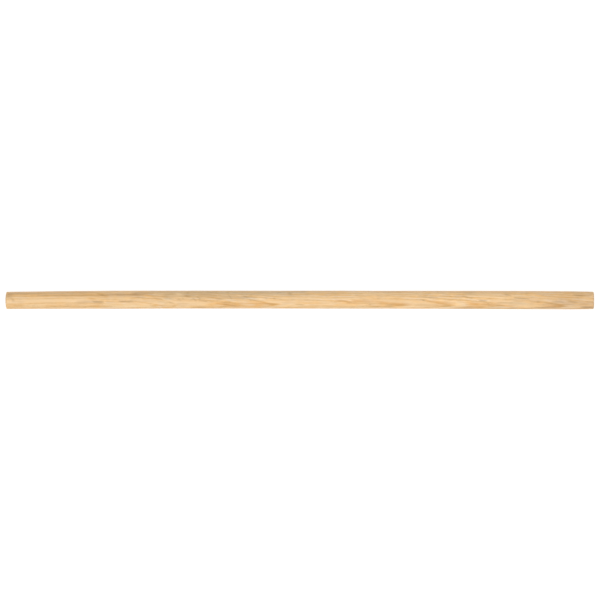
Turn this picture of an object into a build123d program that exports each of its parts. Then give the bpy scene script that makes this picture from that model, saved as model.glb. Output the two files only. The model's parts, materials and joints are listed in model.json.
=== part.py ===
from build123d import *
import os
from math import sqrt

# A plain turned wooden extension pole for a paint roller, made from one length of hardwood.
# It lies along X on the plane Z = 0, which the underside of its shaft touches. The butt end,
# which is held in the hand, points to -X. The roller end, which pushes into the socket of a
# roller frame's handle, points to +X. Both ends are a little slimmer than the shaft.
# Sizes are in millimetres.

# Driving dimensions
LENGTH = 900.0
SHAFT_DIAMETER = 27.4

# Roller end: a short slight taper down from the shaft to a flat face with a lightly eased edge
ROLLER_DIAMETER = 26.5
ROLLER_TAPER_LENGTH = 35.0
ROLLER_EDGE_RADIUS = 2.0

# Butt end: a long slight taper down from the shaft to a domed face with an eased edge
BUTT_DIAMETER = 26.5
BUTT_TAPER_LENGTH = 110.0
BUTT_DOME_RADIUS = 70.0
BUTT_EDGE_RADIUS = 2.0

# Radii and stations along X, from the driving dimensions
SHAFT_RADIUS = SHAFT_DIAMETER / 2
ROLLER_RADIUS = ROLLER_DIAMETER / 2
BUTT_RADIUS = BUTT_DIAMETER / 2
ROLLER_END_X = LENGTH / 2
BUTT_END_X = -LENGTH / 2
SHAFT_END_X = ROLLER_END_X - ROLLER_TAPER_LENGTH
SHAFT_START_X = BUTT_END_X + BUTT_TAPER_LENGTH
BUTT_DOME_DEPTH = BUTT_DOME_RADIUS - sqrt(BUTT_DOME_RADIUS**2 - BUTT_RADIUS**2)

# The pole's centre line, high enough for the shaft to lie on Z = 0
POLE_AXIS = Axis((0, 0, SHAFT_RADIUS), (1, 0, 0))
# The half outline is drawn in this plane, with X along the pole and Y outwards from its axis
OUTLINE_PLANE = Plane(origin=POLE_AXIS.position, x_dir=(1, 0, 0), z_dir=(0, -1, 0))


def rims(part):
    """The full circles round the pole, in order from the butt end to the roller end."""
    return part.edges().filter_by(lambda edge: edge.is_closed).sort_by(Axis.X)


with BuildPart() as wooden_pole:
    with BuildSketch(OUTLINE_PLANE):
        with BuildLine():
            butt_rim = (BUTT_END_X + BUTT_DOME_DEPTH, BUTT_RADIUS)
            TangentArc((BUTT_END_X, 0), butt_rim, tangent=(0, 1))
            Polyline(
                butt_rim,
                (SHAFT_START_X, SHAFT_RADIUS),
                (SHAFT_END_X, SHAFT_RADIUS),
                (ROLLER_END_X, ROLLER_RADIUS),
                (ROLLER_END_X, 0),
                (BUTT_END_X, 0),
            )
        make_face()
    revolve(axis=POLE_AXIS)
    fillet(rims(wooden_pole)[0], radius=BUTT_EDGE_RADIUS)
    fillet(rims(wooden_pole)[-1], radius=ROLLER_EDGE_RADIUS)
wooden_pole.part.label = "wooden_pole"


os.makedirs("parts", exist_ok=True)
export_step(wooden_pole.part, "parts/wooden_pole.step")
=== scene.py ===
"""Looks of a plain turned wooden pole for a paint roller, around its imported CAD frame.

The pole lies along X on the floor: butt end at -X, roller end at +X. Its detailed mesh follows the
CAD outline and adds what turned timber has: a slight natural bow, sections that aren't quite round,
unevenly eased ends and grain that stands a little proud. The same growth rings shape the mesh's
relief and paint its colour. Lengths are in metres, and angles round the pole are in degrees from
its top towards -Y.
"""

import json
import math
from collections import namedtuple

import bmesh
import bpy
import numpy as np
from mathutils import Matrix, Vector, noise


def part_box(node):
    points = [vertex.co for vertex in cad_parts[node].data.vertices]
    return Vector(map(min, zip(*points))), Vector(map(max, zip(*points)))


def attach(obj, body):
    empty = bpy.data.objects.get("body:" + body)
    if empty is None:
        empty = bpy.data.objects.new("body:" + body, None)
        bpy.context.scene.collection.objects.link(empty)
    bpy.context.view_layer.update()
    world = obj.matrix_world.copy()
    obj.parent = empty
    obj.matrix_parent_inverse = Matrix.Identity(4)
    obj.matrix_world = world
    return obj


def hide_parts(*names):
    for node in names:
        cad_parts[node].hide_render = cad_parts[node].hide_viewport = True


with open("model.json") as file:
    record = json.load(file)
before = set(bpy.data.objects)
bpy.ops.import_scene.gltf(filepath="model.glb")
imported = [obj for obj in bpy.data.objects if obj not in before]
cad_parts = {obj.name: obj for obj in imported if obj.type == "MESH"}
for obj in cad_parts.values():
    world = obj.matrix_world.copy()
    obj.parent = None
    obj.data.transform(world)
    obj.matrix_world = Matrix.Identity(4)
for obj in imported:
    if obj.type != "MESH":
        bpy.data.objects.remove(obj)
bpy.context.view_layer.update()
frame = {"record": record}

# The pole's place and size, from the frame
NODE = "wooden_pole"
CAD_LOW, CAD_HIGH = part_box(NODE)
HALF_LENGTH = (CAD_HIGH.x - CAD_LOW.x) / 2
SHAFT_RADIUS = (CAD_HIGH.z - CAD_LOW.z) / 2
AXIS_HEIGHT = (CAD_HIGH.z + CAD_LOW.z) / 2

# The parallel shaft between the two tapers, as its mount gives it
SHAFT_MOUNT = next(mount for mount in frame["record"]["mounts"] if mount["name"] == "shaft")
SHAFT_MIDDLE = SHAFT_MOUNT["pos_m"][0]
SHAFT_HALF_LENGTH = SHAFT_MOUNT["dims"]["length_mm"] / 1000 / 2


def srgb(red, green, blue):
    """A colour seen on screen, from 0 to 255 a channel, as the linear colour that a shader takes."""
    screen = np.array((red, green, blue)) / 255
    linear = np.where(screen <= 0.04045, screen / 12.92, ((screen + 0.055) / 1.055) ** 2.4)
    return (*map(float, linear), 1.0)


# Gentle irregularity: how much at most, how large its features are along X, Y and Z, and a seed
Waver = namedtuple("Waver", "amount size seed")


def wavered(points, waver):
    """The waver's amount at each point, from Perlin noise, either side of 0."""
    places = points / np.array(waver.size) + waver.seed
    return waver.amount * np.array([noise.noise(Vector(place)) for place in places])


# ---- Camera ----

# How much of the picture's width the pole takes up, how far the camera stands off its middle along
# X and Y, and a lens long enough to see all of it squarely
FRAME_FILL = 0.98083
FRAME_SHIFT = (0.0005, 0.0001)
CAMERA_LENS = 1000.0


def make_camera():
    """Far above the pole, with +Y up in the picture and the pole across nearly all of its width."""
    data = bpy.data.cameras.new("camera")
    data.lens = CAMERA_LENS
    half_angle = math.atan(data.sensor_width / 2 / data.lens)
    distance = HALF_LENGTH / FRAME_FILL / math.tan(half_angle)
    camera = bpy.data.objects.new("camera", data)
    camera.location = (*FRAME_SHIFT, AXIS_HEIGHT + distance)
    bpy.context.scene.collection.objects.link(camera)
    bpy.context.scene.camera = camera


# ---- The timber: growth rings and marks, as functions of a point ----

# Growth rings: their width, how far away the heart of the tree was, and in which direction the
# rings are flat against the surface, where they show as long pointed tongues
RING_WIDTH = 0.0032
HEART_DISTANCE = 0.085
FLAT_GRAIN_ANGLE = 36.0

# Stations along X, and how many rings have run out of the surface there. A tongue's tip lies
# wherever the count is whole.
RUN_OUT_STATIONS = (
    (-0.450, -1.3),
    (-0.270, -0.95),
    (-0.209, 0),
    (-0.190, 1),
    (-0.091, 2),
    (-0.038, 3),
    (0.040, 3.25),
    (0.167, 4),
    (0.234, 5),
    (0.303, 6),
    (0.4025, 7),
    (0.450, 7.5),
)
# The count turns gently at each station: it is the mean of some samples this far to either side
GRAIN_TURN = 0.014
GRAIN_TURN_SAMPLES = 9

# How the rings waver: these amounts are in rings
SLOW_WAVER = Waver(0.30, (0.140, 0.016, 0.016), 3.1)
QUICK_WAVER = Waver(0.12, (0.035, 0.0045, 0.0045), 8.7)

# Where the rings swell, or dip, round a small knot that lies just under the surface: its place and
# angle, its half length and half width, and by how many rings
Knot = namedtuple("Knot", "place angle length width rings")
KNOTS = (
    Knot(-0.186, -34, 0.014, 0.0040, 0.9),
    Knot(-0.112, -30, 0.020, 0.0040, -0.5),
    Knot(0.186, -4, 0.012, 0.0030, 0.3),
)

# How far a streak wanders off its straight line, along the pole and across it
STREAK_DRIFT_X = Waver(0.004, (0.020, 0.004, 0.004), 21.3)
STREAK_DRIFT_Y = Waver(0.0006, (0.016, 0.005, 0.005), 34.9)

# Marks that stand out from the even grain, by kind: a soft streak from one place and angle to
# another, its half width, and how strong it is. Plain ones hide the rings. Grey and brown ones along
# the flanks are partly darker wood, partly painted shade.
Streak = namedtuple("Streak", "start start_angle end end_angle width strength")
STREAKS = {
    "plain": (
        Streak(-0.470, 8, -0.325, 9, 0.0055, 0.90),
        Streak(-0.440, 46, -0.300, 48, 0.0032, 0.70),
        Streak(-0.330, 10, -0.300, 12, 0.0030, 0.40),
        Streak(-0.262, 14, -0.200, 16, 0.0038, 0.80),
        Streak(-0.232, 36, -0.221, 50, 0.0024, 0.60),
        Streak(-0.204, 12, -0.194, 44, 0.0035, 0.95),
        Streak(-0.196, 28, -0.184, 48, 0.0030, 0.80),
        Streak(-0.194, 18, -0.140, 26, 0.0038, 0.85),
        Streak(-0.058, 48, -0.050, 48, 0.0016, 0.70),
        Streak(-0.048, 12, -0.030, 14, 0.0028, 0.75),
        Streak(-0.035, -2, 0.010, -2, 0.0013, 0.70),
        Streak(-0.030, 10, 0.040, 14, 0.0060, 0.50),
        Streak(0.000, 58, 0.112, 58, 0.0035, 0.70),
        Streak(0.010, -15, 0.085, -14, 0.0013, 0.70),
        Streak(0.082, 20, 0.122, 23, 0.0015, 0.70),
        Streak(0.104, 8, 0.172, 11, 0.0030, 0.95),
        Streak(0.145, -22, 0.178, -22, 0.0013, 0.60),
        Streak(0.172, 34, 0.205, 34, 0.0040, 0.90),
        Streak(0.270, -24, 0.345, -24, 0.0020, 0.55),
        Streak(0.274, 24, 0.298, 38, 0.0030, 0.50),
        Streak(0.295, 14, 0.345, 22, 0.0048, 0.90),
    ),
    # Grey: a greyish stain; the broad one along the +Y flank at -50 degrees is also painted shade
    # there
    "grey": (
        Streak(-0.225, -50, 0.010, -50, 0.0060, 0.56),
        Streak(-0.216, 14, -0.204, 16, 0.0018, 0.35),
        Streak(-0.210, -6, -0.194, -4, 0.0016, 0.40),
        Streak(-0.205, -24, -0.065, -10, 0.0040, 0.33),
        Streak(0.250, -44, 0.268, -42, 0.0022, 0.40),
        Streak(0.322, 18, 0.352, 24, 0.0020, 0.40),
    ),
    # Brown: darker wood; those running along either flank, about 35 degrees or more from the top, are
    # also painted shade
    "brown": (
        Streak(-0.450, -38, -0.440, -38, 0.0040, 0.60),
        Streak(-0.447, -51, -0.390, -51, 0.0015, 0.45),
        Streak(-0.440, 12, -0.422, 13, 0.0018, 0.24),
        Streak(-0.400, -48, -0.325, -48, 0.0020, 0.25),
        Streak(-0.342, 13, -0.316, 14, 0.0019, 0.50),
        Streak(-0.300, -33, -0.250, -33, 0.0028, 0.50),
        Streak(-0.294, 14, -0.272, 13, 0.0018, 0.50),
        Streak(-0.280, -27, -0.240, -29, 0.0014, 0.45),
        Streak(-0.276, 26, -0.256, 28, 0.0016, 0.22),
        Streak(-0.256, -39, -0.226, -39, 0.0024, 0.55),
        Streak(-0.252, -52, -0.230, -52, 0.0016, 0.45),
        Streak(-0.252, 8, -0.216, 8, 0.0016, 0.32),
        Streak(-0.188, 28, -0.172, 28, 0.0016, 0.30),
        Streak(0.040, -26, 0.060, -26, 0.0014, 0.30),
        Streak(0.158, 30, 0.228, 46, 0.0028, 0.25),
        Streak(0.230, 70, 0.330, 64, 0.0026, 0.46),
        Streak(0.234, -11, 0.250, -10, 0.0016, 0.28),
        Streak(0.234, -27, 0.250, -25, 0.0013, 0.40),
        Streak(0.238, 56, 0.262, 56, 0.0022, 0.30),
        Streak(0.318, 34, 0.334, 34, 0.0018, 0.28),
        Streak(0.320, 75, 0.450, 72, 0.0032, 0.50),
        Streak(0.322, 54, 0.342, 54, 0.0020, 0.30),
        Streak(0.326, 8, 0.342, 8, 0.0018, 0.28),
        Streak(0.348, 2, 0.372, 10, 0.0028, 0.30),
        Streak(0.362, 53, 0.398, 51, 0.0016, 0.75),
        Streak(0.370, 14, 0.480, 27, 0.0100, 0.50),
        Streak(0.386, 12, 0.404, 14, 0.0016, 0.45),
        Streak(0.402, 20, 0.418, 22, 0.0018, 0.45),
        Streak(0.420, -44, 0.444, -42, 0.0018, 0.35),
        Streak(0.424, 20, 0.442, 22, 0.0018, 0.25),
        Streak(0.430, 52, 0.450, 52, 0.0020, 0.75),
    ),
    "pale": (
        Streak(-0.422, 36, -0.388, 37, 0.0026, 0.85),
        Streak(-0.382, -18, -0.360, -18, 0.0016, 0.50),
        Streak(-0.360, -42, -0.335, -42, 0.0016, 0.50),
        Streak(-0.345, -17, -0.305, -18, 0.0014, 0.55),
        Streak(-0.300, -2, -0.278, -2, 0.0012, 0.45),
        Streak(-0.300, 34, -0.276, 38, 0.0030, 1.00),
        Streak(-0.292, -20, -0.252, -19, 0.0016, 0.75),
        Streak(-0.286, 44, -0.228, 48, 0.0028, 0.80),
        Streak(-0.278, 1, -0.262, 1, 0.0016, 0.50),
        Streak(-0.244, 54, -0.222, 56, 0.0022, 0.60),
        Streak(-0.200, -22, -0.186, -20, 0.0014, 0.50),
        Streak(-0.194, -11, -0.179, -10, 0.0016, 0.55),
        Streak(-0.190, -38, -0.181, -38, 0.0032, 1.00),
        Streak(-0.187, 12, -0.135, 20, 0.0013, 0.30),
        Streak(-0.160, -29, -0.157, -28, 0.0009, 0.50),
        Streak(-0.126, -34, -0.124, -24, 0.0010, 0.50),
        Streak(-0.122, -44, -0.104, -44, 0.0018, 0.40),
        Streak(-0.096, -30, -0.088, -26, 0.0014, 0.45),
        Streak(-0.063, -26, -0.056, -23, 0.0013, 0.50),
        Streak(-0.010, -17, 0.030, -17, 0.0018, 0.60),
        Streak(0.024, 54, 0.044, 54, 0.0020, 0.50),
        Streak(0.030, 18, 0.060, 24, 0.0024, 0.50),
        Streak(0.030, 64, 0.110, 63, 0.0030, 0.75),
        Streak(0.032, -12, 0.052, -12, 0.0016, 0.50),
        Streak(0.060, -8, 0.094, -6, 0.0014, 0.70),
        Streak(0.062, -42, 0.084, -42, 0.0016, 0.50),
        Streak(0.080, -44, 0.190, -42, 0.0034, 0.55),
        Streak(0.086, 46, 0.104, 46, 0.0018, 0.45),
        Streak(0.238, 14, 0.252, 34, 0.0026, 0.55),
        Streak(0.266, -49, 0.306, -45, 0.0040, 0.65),
        Streak(0.340, 36, 0.368, 38, 0.0030, 0.40),
    ),
    "warm": (
        Streak(-0.322, -9, -0.312, -8, 0.0014, 0.45),
        Streak(-0.322, 42, -0.308, 46, 0.0020, 0.45),
        Streak(-0.218, 34, -0.208, 47, 0.0018, 0.55),
        Streak(-0.126, 24, -0.096, 48, 0.0018, 0.60),
        Streak(-0.098, 49, -0.060, 45, 0.0015, 0.70),
        Streak(-0.090, 22, -0.032, 32, 0.0013, 0.65),
        Streak(-0.026, 13, -0.010, 14, 0.0016, 0.25),
        Streak(0.054, 1, 0.078, 12, 0.0014, 0.70),
        Streak(0.072, 21, 0.090, 26, 0.0013, 0.40),
        Streak(0.080, 4, 0.112, 11, 0.0013, 0.75),
        Streak(0.112, 11, 0.138, 20, 0.0017, 0.60),
        Streak(0.140, 22, 0.167, 32, 0.0024, 0.60),
        Streak(0.194, 7, 0.236, 25, 0.0018, 0.65),
        Streak(0.256, 20, 0.272, 26, 0.0018, 0.45),
        Streak(0.256, 44, 0.276, 46, 0.0022, 0.35),
        Streak(0.262, 26, 0.306, 34, 0.0028, 0.35),
        Streak(0.292, 12, 0.310, 13, 0.0018, 0.22),
        Streak(0.308, 36, 0.326, 44, 0.0018, 0.55),
        Streak(0.348, -6, 0.364, -4, 0.0014, 0.30),
        Streak(0.375, 40, 0.408, 38, 0.0024, 0.50),
    ),
    "dark": (
        Streak(-0.441, -12, -0.438, 2, 0.0019, 0.45),
        Streak(-0.400, -33, -0.290, -30, 0.0010, 0.50),
        Streak(-0.316, 13, -0.299, 14, 0.0014, 0.90),
        Streak(-0.308, -44, -0.298, -30, 0.0016, 0.35),
        Streak(-0.276, 11, -0.255, 12, 0.0010, 0.70),
        Streak(-0.253, -16, -0.236, -15, 0.0007, 0.28),
        Streak(-0.224, -10, -0.212, -4, 0.0010, 0.50),
        Streak(-0.214, -23, -0.166, -21, 0.0009, 0.30),
        Streak(-0.203, 18, -0.196, 21, 0.0009, 0.35),
        Streak(-0.189, -2, -0.180, 5, 0.0009, 0.28),
        Streak(-0.178, -11, -0.177, -3, 0.0008, 0.40),
        Streak(-0.177, -24, -0.167, -18, 0.0014, 0.28),
        Streak(-0.173, -56, -0.171, -46, 0.0012, 0.35),
        Streak(-0.165, 60, -0.141, 60, 0.0010, 0.45),
        Streak(-0.164, -8, -0.157, 8, 0.0009, 0.45),
        Streak(-0.158, -17, -0.156, -12, 0.0009, 0.40),
        Streak(-0.154, -8, -0.153, 3, 0.0008, 0.60),
        Streak(-0.152, 6, -0.142, 13, 0.0010, 0.40),
        Streak(-0.139, -23, -0.128, -15, 0.0009, 0.15),
        Streak(-0.128, -6, -0.119, -3, 0.0009, 0.40),
        Streak(-0.118, 30, -0.100, 44, 0.0014, 0.35),
        Streak(-0.112, -56, -0.109, -46, 0.0014, 0.35),
        Streak(-0.110, -30, -0.104, -2, 0.0009, 0.35),
        Streak(-0.104, -16, -0.064, -15, 0.0008, 0.25),
        Streak(-0.084, -22, -0.079, -15, 0.0012, 0.30),
        Streak(-0.076, -36, -0.074, -28, 0.0012, 0.25),
        Streak(-0.076, 0, -0.074, 5, 0.0012, 0.20),
        Streak(-0.053, 27, -0.034, 33, 0.0012, 0.35),
        Streak(-0.050, -9, -0.049, -5, 0.0010, 0.40),
        Streak(-0.040, -9, -0.038, -5, 0.0011, 0.45),
        Streak(-0.034, -48, -0.033, -42, 0.0012, 0.35),
        Streak(-0.016, -50, -0.011, -32, 0.0022, 0.38),
        Streak(-0.005, 33, 0.007, 34, 0.0012, 0.40),
        Streak(0.057, 3, 0.072, 8, 0.0011, 0.30),
        Streak(0.105, 32, 0.109, 32, 0.0010, 0.35),
        Streak(0.142, 26, 0.165, 33, 0.0018, 0.15),
        Streak(0.181, -22, 0.212, -13, 0.0009, 0.48),
        Streak(0.187, 3, 0.190, 6, 0.0011, 0.60),
        Streak(0.216, 49, 0.226, 44, 0.0011, 0.25),
        Streak(0.226, -4, 0.256, 3, 0.0009, 0.15),
        Streak(0.248, -24, 0.264, -14, 0.0010, 0.50),
        Streak(0.275, 4, 0.287, 4, 0.0010, 0.55),
        Streak(0.301, 18, 0.325, 19, 0.0010, 0.40),
        Streak(0.302, 36, 0.314, 39, 0.0013, 0.40),
        Streak(0.312, -3, 0.332, 3, 0.0010, 0.25),
        Streak(0.316, -38, 0.321, -31, 0.0015, 0.45),
        Streak(0.326, -15, 0.350, -8, 0.0010, 0.75),
        Streak(0.364, 8, 0.367, 12, 0.0012, 0.35),
        Streak(0.376, 14, 0.398, 26, 0.0016, 0.25),
        Streak(0.386, -15, 0.424, -14, 0.0009, 0.15),
        Streak(0.398, 36, 0.408, 42, 0.0020, 0.32),
        Streak(0.411, 8, 0.422, 12, 0.0015, 0.50),
        Streak(0.417, -35, 0.436, -32, 0.0015, 0.50),
    ),
}


def turned_from(points, angle):
    """The distance round the pole's surface of each point from an angle, positive towards -Y."""
    turn = np.arctan2(-points[:, 1], points[:, 2] - AXIS_HEIGHT) - math.radians(angle)
    return ((turn + math.pi) % (2 * math.pi) - math.pi) * SHAFT_RADIUS


def knot_at(points, knot):
    """1 at a knot's middle, falling softly to 0 past its length and width."""
    along = (points[:, 0] - knot.place) / knot.length
    across = turned_from(points, knot.angle) / knot.width
    return np.exp(-(along**2) - across**2)


def streak_at(points, streak):
    """1 along the middle of a streak, falling to half at its ends and softly to 0 past its width."""
    run = np.array((streak.end - streak.start, math.radians(streak.end_angle - streak.start_angle)))
    run[1] *= SHAFT_RADIUS
    away = np.stack([points[:, 0] - streak.start, turned_from(points, streak.start_angle)], axis=1)
    share = np.clip(away @ run / (run @ run), 0, 1)
    distance = np.linalg.norm(away - share[:, None] * run, axis=1)
    return (1 - 0.5 * np.abs(2 * share - 1) ** 3) * np.exp(-((distance / streak.width) ** 2))


def rings_run_out(x):
    """How many rings have run out of the surface at each place along X."""
    places, counts = zip(*RUN_OUT_STATIONS)
    turn = np.linspace(-GRAIN_TURN, GRAIN_TURN, GRAIN_TURN_SAMPLES)
    return np.interp(x[:, None] + turn, places, counts).mean(axis=1)


def grain_place(points):
    """Each point's place in straight-grained wood: along it, out from its heart, and sideways."""
    angle = math.radians(FLAT_GRAIN_ANGLE)
    heart_y = HEART_DISTANCE * math.sin(angle)
    heart_z = AXIS_HEIGHT - HEART_DISTANCE * math.cos(angle)
    surface = HEART_DISTANCE + SHAFT_RADIUS
    growth = np.hypot(points[:, 1] - heart_y, points[:, 2] - heart_z) - surface
    rings = wavered(points, SLOW_WAVER) + wavered(points, QUICK_WAVER) - rings_run_out(points[:, 0])
    for knot in KNOTS:
        rings += knot.rings * knot_at(points, knot)
    sideways = points[:, 1] * math.cos(angle) + (points[:, 2] - AXIS_HEIGHT) * math.sin(angle)
    return np.stack([points[:, 0], growth + rings * RING_WIDTH, sideways], axis=1)


def streak_layers(points):
    """How strongly each kind of streak shows at each point, from 0 to 1."""
    drifted = points.copy()
    drifted[:, 0] += wavered(points, STREAK_DRIFT_X)
    drifted[:, 1] += wavered(points, STREAK_DRIFT_Y)
    layers = {}
    for kind, streaks in STREAKS.items():
        shown = [streak.strength * streak_at(drifted, streak) for streak in streaks]
        layers[kind] = np.clip(np.sum(shown, axis=0), 0, 1)
    return layers


# ---- The pole's mesh ----

# The slimmer ends: radius at the face, the butt's dome, and the edges' rounding
BUTT_RADIUS = 0.01325
BUTT_DOME = 0.070
BUTT_EDGE = 0.0020
ROLLER_RADIUS = 0.01325
ROLLER_EDGE = 0.0020

# How fine the mesh is: points round the pole, the step along it, and the rings on each end's face
# and on its edge
SEGMENTS = 144
BODY_STEP = 0.0015
CAP_RINGS = 9
EDGE_RINGS = 7
# Points closer than this are one point
TOUCHING = 1e-6

# How far the timber strays from a true cylinder. The bow grows with this power of the distance
# from the middle.
BOW = 0.0012
BOW_POWER = 2.6
SWAY = 0.0002
RAISED_GRAIN = 0.00003
FLECK_DEPTH = 0.00006

# Gentle waves over the surface: soft hollows, sections that aren't quite round, and uneven ends
SOFT_HOLLOWS = Waver(0.00005, (0.030, 0.006, 0.006), 55.1)
OUT_OF_ROUND = Waver(0.00008, (0.220, 0.018, 0.018), 61.7)
END_UNEVENNESS = Waver(0.00012, (0.050, 0.007, 0.007), 71.3)

# Stretches where the turned shaft is a little fuller, or slimmer: middle, half length, and change
# of radius. The power makes them even along their length, with a quick fall at either end.
SWELL_POWER = 4
Swell = namedtuple("Swell", "place length height")
SWELLS = (
    Swell(-0.262, 0.035, 0.00014),
    Swell(-0.045, 0.045, -0.00009),
    Swell(0.050, 0.040, 0.00005),
    Swell(0.130, 0.025, -0.00011),
    Swell(0.345, 0.125, 0.00022),
)


def eased_end(radius, edge, dome_fall):
    """From an end's middle to its rim: the radii, and how far the surface falls back at each."""
    flat = radius - edge
    face_radii = np.linspace(0, flat, CAP_RINGS, endpoint=False)
    turns = np.linspace(0, math.pi / 2, EDGE_RINGS)
    radii = np.concatenate([face_radii, flat + edge * np.sin(turns)])
    rounding = np.concatenate([np.zeros(CAP_RINGS), edge * (1 - np.cos(turns))])
    return radii, rounding + dome_fall(radii)


def butt_dome(radii):
    """How far the butt's domed face falls back at each distance from its middle."""
    return BUTT_DOME - np.sqrt(BUTT_DOME**2 - radii**2)


def flat_face(radii):
    """A flat face doesn't fall back."""
    return np.zeros_like(radii)


def pole_outline():
    """Stations from the butt's middle to the roller end's middle: places along X, and radii."""
    butt_radii, butt_falls = eased_end(BUTT_RADIUS, BUTT_EDGE, butt_dome)
    roller_radii, roller_falls = eased_end(ROLLER_RADIUS, ROLLER_EDGE, flat_face)
    butt_x = CAD_LOW.x + butt_falls
    roller_x = CAD_HIGH.x - roller_falls
    steps = round((roller_x[-1] - butt_x[-1]) / BODY_STEP)
    body_x = np.linspace(butt_x[-1], roller_x[-1], steps + 1)[1:-1]
    shaft_start = SHAFT_MIDDLE - SHAFT_HALF_LENGTH
    shaft_end = SHAFT_MIDDLE + SHAFT_HALF_LENGTH
    corners_x = (CAD_LOW.x, shaft_start, shaft_end, CAD_HIGH.x)
    corners_radius = (BUTT_RADIUS, SHAFT_RADIUS, SHAFT_RADIUS, ROLLER_RADIUS)
    body_radii = np.interp(body_x, corners_x, corners_radius)
    x = np.concatenate([butt_x, body_x, roller_x[::-1]])
    radius = np.concatenate([butt_radii, body_radii, roller_radii[::-1]])
    return x, radius


def thickness_drift(x):
    """How the turned shaft's radius strays along its length."""
    drift = np.zeros_like(x)
    for swell in SWELLS:
        drift += swell.height * np.exp(-(((x - swell.place) / swell.length) ** SWELL_POWER))
    return drift


def sideways_bend(x):
    """How far the middle line strays to +Y: a bow, half of it to either side, and a slighter sway."""
    bow = BOW * (0.5 - (np.abs(x) / HALF_LENGTH) ** BOW_POWER)
    return bow - SWAY * np.sin(math.pi * x / HALF_LENGTH)


def pole_vertices():
    """The vertices of each station's ring, as laid out on the true outline, with their normals."""
    x, radius = pole_outline()
    step_x = np.gradient(x)
    step_radius = np.gradient(radius)
    step = np.hypot(step_x, step_radius)
    turns = np.arange(SEGMENTS) * 2 * math.pi / SEGMENTS
    around = np.stack([np.zeros(SEGMENTS), -np.sin(turns), np.cos(turns)], axis=1)
    along = np.array((1.0, 0.0, 0.0))
    centres = x[:, None, None] * along + np.array((0.0, 0.0, AXIS_HEIGHT))
    points = centres + radius[:, None, None] * around
    normals = (step_x / step)[:, None, None] * around - (step_radius / step)[:, None, None] * along
    return points.reshape(-1, 3), normals.reshape(-1, 3)


def shaped_by_hand(points, normals, rings, flecks):
    """Moves the true outline's points to where the timber's surface is."""
    soft_wood = 0.5 - 0.5 * np.cos(2 * math.pi * rings)
    relief = -RAISED_GRAIN * soft_wood - FLECK_DEPTH * flecks
    relief += wavered(points, SOFT_HOLLOWS) + wavered(points, OUT_OF_ROUND)
    facing_end = np.abs(normals[:, 0])
    relief += facing_end * wavered(points, END_UNEVENNESS)
    relief += (1 - facing_end) * thickness_drift(points[:, 0])
    shaped = points + normals * relief[:, None]
    shaped[:, 1] += sideways_bend(points[:, 0])
    shaped[:, 2] -= shaped[:, 2].min()
    return shaped


def pole_faces(stations):
    """Quads between neighbouring stations, wound so that they face out."""
    ring = np.arange(SEGMENTS)
    after = (ring + 1) % SEGMENTS
    quad = np.stack([ring, after, after + SEGMENTS, ring + SEGMENTS], axis=1)
    rows = np.arange(stations - 1) * SEGMENTS
    return (rows[:, None, None] + quad).reshape(-1, 4)


def close_ends(mesh):
    """Joins the points that meet at the middle of each end, which leaves the pole closed."""
    shell = bmesh.new()
    shell.from_mesh(mesh)
    bmesh.ops.remove_doubles(shell, verts=shell.verts, dist=TOUCHING)
    shell.to_mesh(mesh)
    shell.free()


def store_on_vertices(mesh, grain, layers):
    """Keeps the wood's make-up on the mesh, where the material reads it."""
    grain_data = mesh.attributes.new("grain", "FLOAT_VECTOR", "POINT").data
    grain_data.foreach_set("vector", grain.astype(np.float32).ravel())
    for name, values in layers.items():
        layer_data = mesh.attributes.new(name, "FLOAT", "POINT").data
        layer_data.foreach_set("value", values.astype(np.float32))


def make_pole():
    """The detailed pole, in place of the CAD model's."""
    points, normals = pole_vertices()
    grain = grain_place(points)
    layers = streak_layers(points)
    layers["end_grain"] = np.abs(normals[:, 0])
    shaped = shaped_by_hand(points, normals, grain[:, 1] / RING_WIDTH, layers["dark"])
    stations = len(points) // SEGMENTS
    mesh = bpy.data.meshes.new("pole")
    mesh.from_pydata(shaped.tolist(), [], pole_faces(stations).tolist())
    store_on_vertices(mesh, grain, layers)
    close_ends(mesh)
    mesh.shade_smooth()
    mesh.materials.append(bare_wood())
    pole = bpy.data.objects.new("pole", mesh)
    bpy.context.scene.collection.objects.link(pole)
    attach(pole, "root")
    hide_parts(NODE)


# ---- Materials ----

PALE_WOOD = srgb(239, 206, 159)
HONEY_WOOD = srgb(234, 195, 141)
RING_LINE = srgb(223, 180, 120)
PLAIN_WOOD = srgb(234, 197, 147)
WARM_STREAK = srgb(210, 148, 70)
# Grey of a greyish stain, also used as painted shade along the +Y flank
GREY_STREAK_AND_SHADE = srgb(182, 164, 132)
# Brown of darker wood, also used as painted shade along the flanks
BROWN_STREAK_AND_SHADE = srgb(176, 140, 100)
DARK_FLECK = srgb(140, 103, 56)
PORE = srgb(150, 112, 74)

# Colours through one year's growth: a darker line, then honey wood, then paler wood
YEAR_COLOURS = (
    (0.00, RING_LINE),
    (0.09, RING_LINE),
    (0.22, HONEY_WOOD),
    (0.50, HONEY_WOOD),
    (0.62, PALE_WOOD),
    (0.90, PALE_WOOD),
    (1.00, RING_LINE),
)

# The kinds of streak in the order they are laid on, with their colour and how well it covers.
# The wood's bands break up the broad ones, and its fibres the fine ones.
BROAD_STREAKS = (
    ("plain", PLAIN_WOOD, 0.9),
    # grey also lays painted shade along the +Y flank
    ("grey", GREY_STREAK_AND_SHADE, 0.8),
    # brown also lays painted shade along the flanks
    ("brown", BROWN_STREAK_AND_SHADE, 0.8),
)
FINE_STREAKS = (
    ("pale", PALE_WOOD, 0.9),
    ("warm", WARM_STREAK, 0.8),
    ("dark", DARK_FLECK, 0.8),
)

# What the wood's colour is multiplied by where it is deep or light, where it is greyer or warmer,
# and on the end faces
DEEP = (0.955, 0.92, 0.86, 1.0)
LIGHT = (1.045, 1.07, 1.13, 1.0)
GREYER = (0.95, 0.99, 1.08, 1.0)
WARMER = (1.05, 1.01, 0.91, 1.0)
WEATHERED_END = (0.80, 0.74, 0.66, 1.0)

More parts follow.
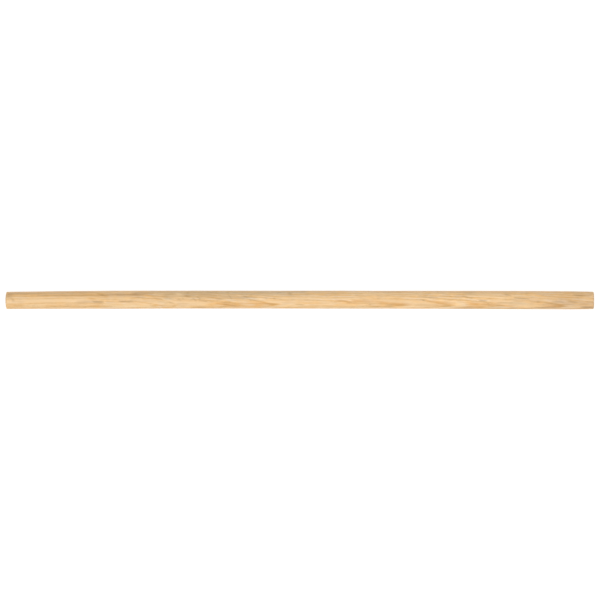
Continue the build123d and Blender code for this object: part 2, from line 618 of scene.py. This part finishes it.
# How far from 0.5 a pattern has to be for a tint to show in full
TINT_SPREAD = 0.2
CLOUD_SPREAD = 0.3
YEAR_SPREAD = 0.9

# Noise in the wood: how large its features are along the grain and both ways across it, how many
# finer layers it has, and how strong those are
Mottle = namedtuple("Mottle", "size detail roughness", defaults=(2.0, 0.5))
FIBRES = Mottle((0.030, 0.00055, 0.00055), detail=4.0, roughness=0.6)
BANDS = Mottle((0.100, 0.0026, 0.0026), detail=3.0)
FLECKS = Mottle((0.013, 0.0018, 0.0018))
HUES = Mottle((0.015, 0.0030, 0.0030))
CLOUDS = Mottle((0.110, 0.0120, 0.0120))
PORES = Mottle((0.0065, 0.00024, 0.00024), detail=1.0)

# Smooth steps: where the input starts and ends, and what comes out there
Step = namedtuple("Step", "low high out_low out_high", defaults=(0.0, 1.0))
BAND_JITTER = Step(0.20, 0.80, -0.10, 0.10)  # bands push the ring lines to and fro, in rings
STREAK_BREAKS = Step(0.25, 0.70, 0.55, 1.25)  # a pattern thins a streak or thickens it
PORE_NOISE = Step(0.60, 0.68)  # noise that is high enough leaves a pore
EARLY_WOOD = Step(0.05, 0.45, 1.00, 0.25)  # pores are shallower later in a year's growth
END_FACING = Step(0.75, 0.97)  # how squarely a surface faces an end, to count as an end face
FIBRE_ROUGHNESS = Step(0.20, 0.80, 0.52, 0.68)  # fibres vary the wood's roughness

# How fully pores take their own colour, how deep they are, how high the fibres stand as a share of
# that, how strongly both show as bumps, and how much the bare wood reflects
PORE_COVER = 0.5
PORE_DEPTH = 0.00008
FIBRE_HEIGHT = 0.5
BUMP_STRENGTH = 0.6
WOOD_SPECULAR = 0.35

# Where a Mix node has the sockets that it uses for colours
MIX_AMOUNT, MIX_FIRST, MIX_SECOND = 0, 6, 7
MIX_RESULT = 2


class Shader:
    """Short calls for building one material's nodes."""

    def __init__(self, name):
        self.material = bpy.data.materials.new(name)
        self.material.use_nodes = True
        self.tree = self.material.node_tree
        self.surface = self.tree.nodes["Principled BSDF"]

    def put(self, socket, value):
        """Links an input to another node's output, or sets it to a plain value."""
        if isinstance(value, bpy.types.NodeSocket):
            self.tree.links.new(value, socket)
        else:
            socket.default_value = value

    def feed(self, node, values):
        """Gives some of a node's inputs, by name, their links or plain values."""
        for name, value in values.items():
            self.put(node.inputs[name], value)

    def node(self, kind, values=(), **settings):
        """A node with the given settings, and its first inputs in order."""
        made = self.tree.nodes.new("ShaderNode" + kind)
        for name, setting in settings.items():
            setattr(made, name, setting)
        for socket, value in zip(made.inputs, values):
            self.put(socket, value)
        return made

    def math(self, operation, *values):
        """The result of one operation on numbers."""
        return self.node("Math", values, operation=operation).outputs[0]

    def product(self, first, second):
        """Two numbers multiplied."""
        return self.math("MULTIPLY", first, second)

    def layer(self, name, output="Fac"):
        """One of the values stored on the mesh's vertices."""
        return self.node("Attribute", attribute_name=name).outputs[output]

    def mottled(self, place, mottle):
        """Noise from 0 to 1, with features of the mottle's size along the place's directions."""
        scaled = self.node("VectorMath", (place, mottle.size), operation="DIVIDE").outputs[0]
        texture = self.node("TexNoise")
        self.feed(texture, {"Vector": scaled, "Scale": 1.0})
        self.feed(texture, {"Detail": mottle.detail, "Roughness": mottle.roughness})
        return texture.outputs["Fac"]

    def stepped(self, value, step):
        """A smooth step from one value to another while the input goes from low to high."""
        return self.node("MapRange", (value, *step), interpolation_type="SMOOTHSTEP").outputs[0]

    def ramp(self, value, stops):
        """Colours at places from 0 to 1."""
        made = self.node("ValToRGB", (value,))
        elements = made.color_ramp.elements
        while len(elements) < len(stops):
            elements.new(0.5)  # each one moves to its own place below
        for element, (place, colour) in zip(elements, stops):
            element.position = place
            element.color = colour
        return made.outputs["Color"]

    def mix(self, amount, first, second, blend="MIX"):
        """The first colour, through to the second one or to their blend as the amount goes to 1."""
        made = self.node("Mix", data_type="RGBA", blend_type=blend)
        self.put(made.inputs[MIX_AMOUNT], amount)
        self.put(made.inputs[MIX_FIRST], first)
        self.put(made.inputs[MIX_SECOND], second)
        return made.outputs[MIX_RESULT]

    def tint(self, colour, pattern, low, high, spread=TINT_SPREAD):
        """The colour times one tint where a pattern is low, through to another where it is high."""
        share = self.stepped(pattern, Step(0.5 - spread, 0.5 + spread))
        return self.mix(1.0, colour, self.mix(share, low, high), blend="MULTIPLY")


def ring_age(wood, grain, bands):
    """Each point's place in the tree's years, which grow outwards from its heart."""
    growth = wood.node("SeparateXYZ", (grain,)).outputs["Y"]
    return wood.math("ADD", wood.math("DIVIDE", growth, RING_WIDTH), wood.stepped(bands, BAND_JITTER))


def ring_colour(wood, age):
    """Each year's colours, a little deeper or lighter from one year to another."""
    colour = wood.ramp(wood.math("FRACT", age), YEAR_COLOURS)
    year = wood.node("TexWhiteNoise", noise_dimensions="1D")
    wood.feed(year, {"W": wood.math("FLOOR", age)})
    return wood.tint(colour, year.outputs["Value"], DEEP, LIGHT, spread=YEAR_SPREAD)


def streaked(wood, colour, streaks, pattern):
    """Lays some kinds of streak over the wood, broken up by a pattern."""
    breaks = wood.stepped(pattern, STREAK_BREAKS)
    for kind, shade, cover in streaks:
        amount = wood.product(wood.product(wood.layer(kind), breaks), cover)
        colour = wood.mix(amount, colour, shade)
    return colour


def open_pores(wood, grain, age):
    """How deep the surface is pitted, from 0 to 1: most of all in each year's first growth."""
    pores = wood.stepped(wood.mottled(grain, PORES), PORE_NOISE)
    return wood.product(pores, wood.stepped(wood.math("FRACT", age), EARLY_WOOD))


def with_weathered_ends(wood, colour):
    """The same colour along the pole, and a darker one on its end faces."""
    weathered = wood.mix(1.0, colour, WEATHERED_END, blend="MULTIPLY")
    return wood.mix(wood.stepped(wood.layer("end_grain"), END_FACING), colour, weathered)


def fine_relief(wood, fibres, pitted):
    """Bumps too small for the mesh: the fibres stand proud, and the pores are pits."""
    height = wood.math("SUBTRACT", wood.product(fibres, FIBRE_HEIGHT), pitted)
    bump = wood.node("Bump")
    wood.feed(bump, {"Strength": BUMP_STRENGTH, "Distance": PORE_DEPTH, "Height": height})
    return bump.outputs["Normal"]


def bare_wood():
    """Sanded pale hardwood with open pores, unfinished."""
    wood = Shader("bare_wood")
    place = wood.node("TexCoord").outputs["Object"]
    grain = wood.layer("grain", "Vector")
    fibres = wood.mottled(grain, FIBRES)
    bands = wood.mottled(grain, BANDS)
    age = ring_age(wood, grain, bands)
    pitted = open_pores(wood, grain, age)

    colour = ring_colour(wood, age)
    for pattern in (bands, wood.mottled(grain, FLECKS), fibres):
        colour = wood.tint(colour, pattern, DEEP, LIGHT)
    colour = wood.tint(colour, wood.mottled(place, CLOUDS), DEEP, LIGHT, spread=CLOUD_SPREAD)
    colour = wood.tint(colour, wood.mottled(grain, HUES), GREYER, WARMER)
    colour = streaked(wood, colour, BROAD_STREAKS, bands)
    colour = streaked(wood, colour, FINE_STREAKS, fibres)
    colour = wood.mix(wood.product(pitted, PORE_COVER), colour, PORE)

    wood.feed(
        wood.surface,
        {
            "Base Color": with_weathered_ends(wood, colour),
            "Roughness": wood.stepped(fibres, FIBRE_ROUGHNESS),
            "Specular IOR Level": WOOD_SPECULAR,
            "Normal": fine_relief(wood, fibres, pitted),
        },
    )
    return wood.material


# ---- Floor and light ----

WHITE = (1.0, 1.0, 1.0, 1.0)

# The floor reaches past every view of the pole. Its grey takes a faint shadow, and its glow brings
# it up to white.
FLOOR_SIZE = 200.0
FLOOR_GREY = (0.35, 0.35, 0.35, 1.0)
FLOOR_GLOW = 0.78

# The even light from all round, and the key light: its strength, how many degrees of the sky it
# fills, and the way it shines
SKY_STRENGTH = 0.33
KEY_STRENGTH = 2.33
KEY_SOFTNESS = 55.0
KEY_TOWARDS = Vector((0.10, 0.17, -1.0))


def make_floor():
    """A plain matte white table."""
    bpy.ops.mesh.primitive_plane_add(size=FLOOR_SIZE)
    floor = bpy.context.object
    floor.name = "floor"
    table = Shader("floor")
    table.feed(table.surface, {"Base Color": FLOOR_GREY, "Roughness": 1.0, "Specular IOR Level": 0.0})
    table.feed(table.surface, {"Emission Color": WHITE, "Emission Strength": FLOOR_GLOW})
    floor.data.materials.append(table.material)


def make_light():
    """A large soft key almost overhead, and a little even white light from all round."""
    world = bpy.data.worlds.new("studio")
    world.use_nodes = True
    sky = world.node_tree.nodes["Background"]
    sky.inputs["Color"].default_value = WHITE
    sky.inputs["Strength"].default_value = SKY_STRENGTH
    bpy.context.scene.world = world
    data = bpy.data.lights.new("key", "SUN")
    data.energy = KEY_STRENGTH
    data.angle = math.radians(KEY_SOFTNESS)
    key = bpy.data.objects.new("key", data)
    key.rotation_mode = "QUATERNION"
    key.rotation_quaternion = KEY_TOWARDS.to_track_quat("-Z", "Y")
    bpy.context.scene.collection.objects.link(key)
    bpy.context.scene.view_settings.view_transform = "Standard"


make_camera()
make_pole()
make_floor()
make_light()
